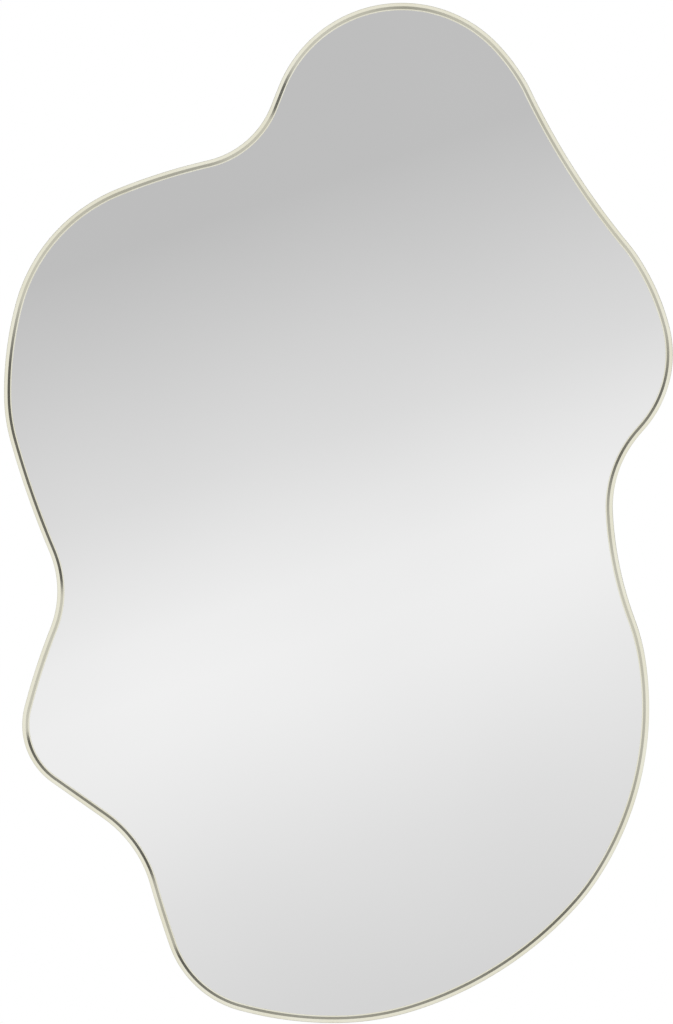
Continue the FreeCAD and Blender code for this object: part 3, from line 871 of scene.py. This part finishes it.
@dataclass
class Back:
    """The board, the tabs that hold it, the hangers and the rubber pads.

    Depths are in front of the room's wall. A tab is named by its bend, by 0 for the bend's own
    arc or 1 for the blend after it, and by its direction from the centre in degrees.
    """

    board_rear: float = 9.15 * MM
    tab_rear: float = 7.65 * MM
    strap_rear: float = 6.95 * MM
    rim_wall: float = 1.5 * MM
    weld_gap: float = 0.1 * MM
    tab_width: float = 15 * MM
    tab_hole_inset: float = 7 * MM
    weld_drops: int = 6
    weld_radius: float = 1.1 * MM
    weld_pitch: float = 0.95 * MM
    weld_start: float = 2.2 * MM
    weld_lap: float = 0.5 * MM
    weld_flat: tuple[float, float] = (0.75, 0.85)  # how far the drops are flattened
    weld_lean: float = 12  # how far they lean to and fro, in degrees
    strap_screws: tuple[float, float] = (12 * MM, 30 * MM)
    hanger_x: float = 150 * MM
    bar_z: float = -16.5 * MM
    pads: int = 4
    outline: Outline = field(default_factory=Outline)
    tabs: Sequence[tuple[str, int, float]] = (
        ("crown", 0, 60),
        ("crown", 0, 135),
        ("temple", 0, 140),
        ("cheek", 0, 188),
        ("toe", 0, 215),
        ("heel", 0, 232),
        ("belly", 1, 300),
        ("thigh", 1, 352),
        ("nose", 0, 350),
    )

    def tab_place(self, tab: tuple[str, int, float]) -> Matrix:
        """Where a tab meets the rim's wall, with X pointing outwards there."""
        names = [bend.name for bend in self.outline.bends]
        stretch = self.outline.stretches()[2 * names.index(tab[0]) + tab[1]]
        angle = math.radians(tab[2])
        reach = stretch.radius - self.rim_wall - self.weld_gap
        spot = stretch.centre + Vector((math.cos(angle), 0, math.sin(angle))) * reach
        return Matrix.Translation(spot) @ Matrix.Rotation(-angle, 4, "Y")

    def screws(self, name: str, node: str, places: Sequence[Vector], depth: float) -> None:
        """Makes one set of screws, each turned as it happened to be driven home.

        Args:
            name: The name of the set.
            node: The CAD piece that it stands for.
            places: Where the screws are, in the plane of the board.
            depth: How far in front of the wall the heads sit.
        """
        master = PanHead().mesh()
        bm = bmesh.new()
        for i, spot in enumerate(places):
            turn = Matrix.Rotation(math.radians(FIRST_TURN + NEXT_TURN * i), 4, "Y")
            placed(bm, master, Matrix.Translation((spot.x, -depth, spot.z)) @ turn)
        thing = finish_mesh(bm, name, ZINC, 30)
        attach(thing, "mirror")
        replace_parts(thing, node)

    def welds(self) -> None:
        """Makes a bead of weld down each side of each tab, as overlapping drops."""
        bm = bmesh.new()
        for tab in self.tabs:
            at = self.tab_place(tab)
            for side, i in itertools.product((-1, 1), range(self.weld_drops)):
                depth = self.board_rear - self.weld_start - self.weld_pitch * i
                spot = Vector((-self.weld_lap, -depth, side * 0.5 * self.tab_width))
                lean = math.radians(self.weld_lean * (i * 7 % 3 - 1))
                length = 1.0 + 0.1 * (i * 5 % 3)
                bmesh.ops.create_uvsphere(
                    bm,
                    u_segments=12,
                    v_segments=8,
                    radius=self.weld_radius,
                    matrix=at
                    @ Matrix.Translation(spot)
                    @ Matrix.Rotation(lean, 4, "Z")
                    @ Matrix.Diagonal((*self.weld_flat, length, 1)),
                )
        thing = finish_mesh(bm, "tab_weld_beads", PLATING, 60)
        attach(thing, "mirror")

    def build(self) -> None:
        """Makes the fastenings and dresses the board."""
        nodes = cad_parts
        BOARD.dress(nodes["backing_board"])
        for i in range(1, len(self.tabs) + 1):
            tab = refined(f"frame_tab_{i}", f"tab_{i}", PLATING, 0.2 * MM)
            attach(tab, "mirror")
        self.welds()
        inset = Vector((-self.tab_hole_inset, 0, 0))
        holes = [self.tab_place(tab) @ inset for tab in self.tabs]
        self.screws("tab_screw_heads", "tab_screws", holes, self.tab_rear)
        for side in Side:
            label = side.name.lower()
            across = side.value * self.hanger_x
            spots = [Vector((across, 0, self.bar_z - drop)) for drop in self.strap_screws]
            heads, screws = f"hanger_screw_heads_{label}", f"hanger_screws_{label}"
            self.screws(heads, screws, spots, self.strap_rear)
            strap = refined(f"hanger_strap_{label}", f"strap_{label}", ZINC, 0.12 * MM)
            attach(strap, "mirror")
            Ring(side).build()
        for i in range(1, self.pads + 1):
            pad = refined(f"wall_bumper_{i}", f"rubber_pad_{i}", RUBBER, 0.5 * MM)
            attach(pad, "mirror")


@dataclass
class Ring:
    """A hanger's D-shaped wire ring, at rest with its bow up."""

    side: Side
    wire: float = 1.5 * MM
    bar_half: float = 7.5 * MM
    corner: float = 4.0 * MM
    bow: float = 11.5 * MM
    bow_start: float = 6.5 * MM
    axis: tuple[float, float] = (-6.57 * MM, -16.5 * MM)
    spread: float = 150 * MM

    def path(self) -> list[Stretch]:
        """The wire's centreline, anticlockwise from the middle of the bar."""
        depth, low = self.axis
        middle = Vector((self.side.value * self.spread, depth, low))

        def at(x: float, z: float) -> Vector:
            """A point of the ring from the middle of its bar."""
            return middle + Vector((x, 0, z))

        bar, corner, bow, start = self.bar_half, self.corner, self.bow, self.bow_start
        return [
            Stretch(None, 0, at(0, 0), at(bar, 0)),
            Stretch(at(bar, corner), corner, at(bar, 0), at(bow, corner)),
            Stretch(None, 0, at(bow, corner), at(bow, start)),
            Stretch(at(0, start), bow, at(bow, start), at(-bow, start)),
            Stretch(None, 0, at(-bow, start), at(-bow, corner)),
            Stretch(at(-bar, corner), corner, at(-bow, corner), at(-bar, 0)),
            Stretch(None, 0, at(-bar, 0), at(0, 0)),
        ]

    def build(self) -> None:
        """Makes the ring and hangs it on its own body."""
        bm = bmesh.new()
        path = self.path()
        across = Matrix.Translation(path[0].start) @ Matrix.Rotation(math.radians(90), 4, "Y")
        ring = bmesh.ops.create_circle(
            bm, cap_ends=False, segments=24, radius=self.wire, matrix=across
        )
        sweep_loop(bm, list(ring["verts"]), path, step=0.8 * MM, turn=6.0)
        label = self.side.name.lower()
        thing = finish_mesh(bm, f"wire_ring_{label}", ZINC, 60)
        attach(thing, f"{label}_ring")
        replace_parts(thing, f"hanger_ring_{label}")


# ---------------------------------------------------------------- the studio


@dataclass(frozen=True)
class PaintedFloor(Finish):
    """The studio's floor: matt white paint, seen as white and still holding the shadow."""

    title: str = "matt_white_floor"
    roller: float = 1 / 300  # the roller's stipple, in metres

    def surface(self, tree: Any) -> Any:
        """White paint with a faint roller texture."""
        place = add_node(tree, "TexCoord").outputs["Object"]
        stipple = add_node(
            tree, "TexNoise", {"Scale": 1 / self.roller, "Detail": 2.0}, {"Vector": place}
        )
        tone = add_node(tree, "ValToRGB", links={"Fac": stipple.outputs["Fac"]})
        base = set_ramp(tone, [(0.3, "#F1F1F0"), (0.7, "#F5F5F4")])
        return add_node(tree, "BsdfPrincipled", {"Roughness": 0.9}, {"Base Color": base}).outputs[0]


def glow_for(tree: Any, tone: Any, in_glass: bool) -> Any:
    """A glow, which paints reflections, that shows either in the glass alone or in everything but
    the glass.

    Args:
        tree: The node tree.
        tone: The colour socket of the glow.
        in_glass: Whether the glass shows it, or else the metal.

    Returns:
        The shader's socket.
    """
    glow = add_node(tree, "Emission", {"Strength": 1.0}, {"Color": tone}).outputs[0]
    clear = add_node(tree, "BsdfTransparent").outputs[0]
    sharp = add_node(tree, "LightPath").outputs["Is Singular Ray"]
    hidden, shown = (clear, glow) if in_glass else (glow, clear)
    return add_node(tree, "MixShader", {}, {0: sharp, 1: hidden, 2: shown}).outputs[0]


@dataclass(frozen=True)
class PaintedRoomReflection(Finish):
    """A glowing wall round the set, seen only in the glass: the painted reflection of a pale grey
    room, which the glass shows from the side.
    """

    title: str = "grey_painted_room_reflection"
    low: float = -1.5  # between these heights, in metres, the tones change
    high: float = 4.0
    tones: tuple[str, str, str, str] = ("#E6E6E6", "#F4F4F4", "#DADADA", "#C6C6C6")

    def surface(self, tree: Any) -> Any:
        """Lighter below and darker above, glowing only in the glass: a painted reflection."""
        place = add_node(tree, "TexCoord").outputs["Object"]
        parts = add_node(tree, "SeparateXYZ", {}, {0: place}).outputs
        level = add_node(
            tree, "MapRange", {"From Min": self.low, "From Max": self.high}, {"Value": parts["Z"]}
        )
        ramp = add_node(tree, "ValToRGB", links={"Fac": level.outputs[0]})
        tone = set_ramp(ramp, list(zip((0.0, 0.3, 0.6, 1.0), self.tones)))
        return glow_for(tree, tone, in_glass=True)


@dataclass(frozen=True)
class GradedReflectionGlow(Finish):
    """A glowing card behind the camera, seen only in the sharp reflection of the glass: a painted
    reflection, grey above, with a bright sloping band.
    """

    title: str = "graded_painted_reflection_glow"
    slope: float = 19.0  # degrees that the band rises to the right
    stretch: float = 1.0  # how much larger the card's picture is than the mirror
    span: float = 0.8468  # how far the ramp runs across the slope, in metres at the mirror

    def surface(self, tree: Any) -> Any:
        """A ramp across the slope, glowing only for the sharp reflection in the glass: the painted
        reflection that the mirror shows.
        """
        place = add_node(tree, "TexCoord").outputs["Object"]
        slope = math.radians(self.slope)
        lean = add_node(
            tree,
            "VectorMath",
            {1: (-math.sin(slope), 0.0, math.cos(slope))},
            {0: place},
            operation="DOT_PRODUCT",
        )
        reach = 0.5 * self.span * self.stretch
        height = add_node(
            tree,
            "MapRange",
            {"From Min": -reach, "From Max": reach},
            {"Value": lean.outputs["Value"]},
        )
        ramp = add_node(tree, "ValToRGB", links={"Fac": height.outputs[0]})
        stops = [
            (0.0, "#E0E0E0"),
            (0.16, "#EBEBEB"),
            (0.25, "#F3F3F3"),
            (0.33, "#F9F9F9"),
            (0.38, "#FBFBFB"),
            (0.44, "#F9F9F9"),
            (0.5, "#F2F2F2"),
            (0.58, "#E6E6E6"),
            (0.75, "#D2D2D2"),
            (0.83, "#C8C8C8"),
        ]
        return glow_for(tree, set_ramp(ramp, stops), in_glass=True)


@dataclass(frozen=True)
class PaintedShadeHoop(Finish):
    """A glowing hoop round the set, seen only in rough glossy reflections: a painted reflection
    that lays painted shade on the rim's bevel and edges.
    """

    title: str = "painted_shade_surround_glow"

    def surface(self, tree: Any) -> Any:
        """A glow for each direction round the set, as degrees anticlockwise from the right: the
        painted shade and light that the rim's edges reflect.
        """
        place = add_node(tree, "TexCoord").outputs["Object"]
        parts = add_node(tree, "SeparateXYZ", {}, {0: place}).outputs
        flat = add_node(tree, "CombineXYZ", {}, {"X": parts["X"], "Y": parts["Z"]})
        turn = add_node(tree, "TexGradient", {}, {0: flat.outputs[0]}, gradient_type="RADIAL")
        ramp = add_node(tree, "ValToRGB", links={"Fac": turn.outputs["Fac"]})
        # Painted shade: each direction's glow sets how dark the rim's bevel looks there.
        tones = {
            -180: "#BEBEBE",
            -150: "#DADADA",
            -120: "#D0D0D0",
            -90: "#A8A8A8",
            -60: "#D0D0D0",
            -30: "#D8D8D8",
            -8: "#DCDCDC",
            3: "#5C5C5C",
            12: "#626262",
            30: "#767676",
            60: "#929292",
            90: "#A6A6A6",
            115: "#9A9A9A",
            130: "#8A8A8A",
            142: "#727272",
            155: "#8A8A8A",
            165: "#A4A4A4",
            180: "#BEBEBE",
        }
        dark = set_ramp(ramp, [(angle / 360 + 0.5, tone) for angle, tone in tones.items()])
        return glow_for(tree, dark, in_glass=False)


class Lamp(NamedTuple):
    """A soft square lamp: its side in metres, its power in watts and its place."""

    name: str
    side: float
    power: float
    at: tuple[float, float, float]


@dataclass
class Studio:
    """Camera, lights, floor, and the glowing pieces round the set that paint the reflections.
    Lengths in metres.
    """

    view_x: float = -0.0077
    view_z: float = -0.2092
    front: float = -0.026
    distance: float = 3.0
    seen_height: float = PHOTO_HEIGHT * PIXEL
    sensor: float = 36.0
    card_gap: float = 0.9
    card_size: tuple[float, float] = (2.2, 2.8)
    glass_y: float = -0.0235
    hoop_radius: float = 1.1
    hoop_spans: Sequence[tuple[float, float]] = ((-1.1, -0.3), (0.1, 1.3))
    wall_radius: float = 7.5
    wall_rise: tuple[float, float] = (-5.0, 5.0)
    steps: int = 96
    floor_z: float = -1.35
    floor_radius: float = 3.2
    lamps: Sequence[Lamp] = (
        Lamp("key", 1.6, 30, (-1.9, -2.2, 1.6)),
        Lamp("fill", 1.8, 16, (2.2, -2.0, 0.6)),
        Lamp("back_key", 1.6, 30, (1.9, 2.2, 1.6)),
        Lamp("back_fill", 1.8, 16, (-2.2, 2.0, 0.6)),
    )

    def camera(self) -> None:
        """A long lens straight in front, framed as the photograph is."""
        data = bpy.data.cameras.new("long_lens")
        data.sensor_width = self.sensor
        data.lens = data.sensor_width * self.distance / self.seen_height
        thing = bpy.data.objects.new("camera", data)
        bpy.context.scene.collection.objects.link(thing)
        thing.location = (self.view_x, self.front - self.distance, self.view_z)
        thing.rotation_euler = (math.radians(90), 0, 0)
        bpy.context.scene.camera = thing

    def panel(
        self, name: str, width: float, height: float, at: Vector, finish: Finish
    ) -> bpy.types.Object:
        """Adds an upright stage panel with its object at its middle."""
        bm = bmesh.new()
        upright = Matrix.Diagonal((width, 1, height, 1)) @ Matrix.Rotation(math.radians(90), 4, "X")
        bmesh.ops.create_grid(bm, x_segments=1, y_segments=1, size=0.5, matrix=upright)
        return self.set_piece(bm, name, at, finish)

    def set_piece(
        self, bm: bmesh.types.BMesh, name: str, at: Vector, finish: Finish
    ) -> bpy.types.Object:
        """Turns a bmesh, which is freed, into a stage object at a place."""
        mesh = bpy.data.meshes.new(name)
        bm.to_mesh(mesh)
        bm.free()
        thing = bpy.data.objects.new(name, mesh)
        bpy.context.scene.collection.objects.link(thing)
        thing.location = at
        finish.dress(thing)
        return thing

    def only_in_reflections(self, thing: bpy.types.Object) -> None:
        """Hides a stage panel from everything but reflections."""
        thing.visible_camera = False
        thing.visible_diffuse = False
        thing.visible_shadow = False
        thing.visible_volume_scatter = False

    def surroundings(self) -> None:
        """The glowing card behind the camera and the glowing hoop and wall round the set, which
        paint the reflections, and the floor.
        """
        camera_y = self.front - self.distance
        card_y = camera_y - self.card_gap
        spread = (self.glass_y - card_y) / (self.glass_y - camera_y)
        # A glowing card that paints the reflection in the mirror.
        card = self.panel(
            "painted_reflection_card",
            *self.card_size,
            Vector((self.view_x, card_y, self.view_z)),
            GradedReflectionGlow(stretch=1 + spread),
        )
        self.only_in_reflections(card)
        hoop = [[Vector((0, y, self.hoop_radius)) for y in span] for span in self.hoop_spans]
        wall = [[Vector((self.wall_radius, 0, z)) for z in self.wall_rise]]
        for name, runs, axis, finish in (
            # The glowing hoop paints shade into the metal's reflections.
            ("painted_shade_hoop", hoop, (0, 1, 0), PaintedShadeHoop()),
            # The glowing wall paints the reflection of a room in the glass.
            ("painted_room_reflection_wall", wall, (0, 0, 1), PaintedRoomReflection()),
        ):
            bm = bmesh.new()
            for run in runs:
                bm.edges.new([bm.verts.new(point) for point in run])
            bmesh.ops.spin(
                bm,
                geom=[*bm.edges, *bm.verts],
                cent=(0, 0, 0),
                axis=axis,
                dvec=(0, 0, 0),
                angle=math.tau,
                steps=self.steps,
                use_merge=True,
            )
            round_set = self.set_piece(bm, name, Vector((0, 0, self.view_z)), finish)
            self.only_in_reflections(round_set)
        bm = bmesh.new()
        bmesh.ops.create_circle(bm, cap_ends=True, segments=self.steps, radius=self.floor_radius)
        self.set_piece(bm, "floor", Vector((0, 0, self.floor_z)), PaintedFloor())

    def hang(self, lamp: Lamp) -> None:
        """Adds a lamp that points at the mirror and doesn't show in it."""
        data = bpy.data.lights.new(lamp.name, "AREA")
        data.shape = "SQUARE"
        data.size = lamp.side
        data.energy = lamp.power
        thing = bpy.data.objects.new(lamp.name, data)
        bpy.context.scene.collection.objects.link(thing)
        thing.location = lamp.at
        aim = Vector((0, 0, self.view_z)) - thing.location
        thing.rotation_euler = aim.to_track_quat("-Z", "Y").to_euler()
        thing.visible_glossy = False

    def world(self) -> None:
        """White for what the camera, metal and glass see, a plain level for everything else."""
        made = bpy.data.worlds.new("white_room")
        made.use_nodes = True
        bpy.context.scene.world = made
        tree = made.node_tree
        tree.nodes.clear()
        path = add_node(tree, "LightPath")
        seen = path.outputs["Is Camera Ray"]
        for name in ("Is Glossy Ray", "Is Transmission Ray"):
            seen = add_node(
                tree, "Math", {}, {0: seen, 1: path.outputs[name]}, operation="MAXIMUM"
            ).outputs[0]
        strength = add_node(
            tree, "MapRange", {"To Min": 0.55, "To Max": 1.0}, {"Value": seen}
        ).outputs[0]
        light = add_node(tree, "Background", {"Color": (1, 1, 1, 1)}, {"Strength": strength})
        add_node(tree, "OutputWorld", links={"Surface": light.outputs[0]})

    def build(self) -> None:
        """Sets the whole studio up."""
        bpy.context.scene.view_settings.view_transform = "Standard"
        self.camera()
        self.world()
        self.surroundings()
        for lamp in self.lamps:
            self.hang(lamp)


def main() -> None:
    """Builds the studio and the mirror."""
    logging.basicConfig(level=logging.INFO, format="%(name)s: %(message)s")
    Studio().build()
    Front().build()
    Back().build()
    bpy.context.view_layer.update()


if __name__ == "__main__":
    main()
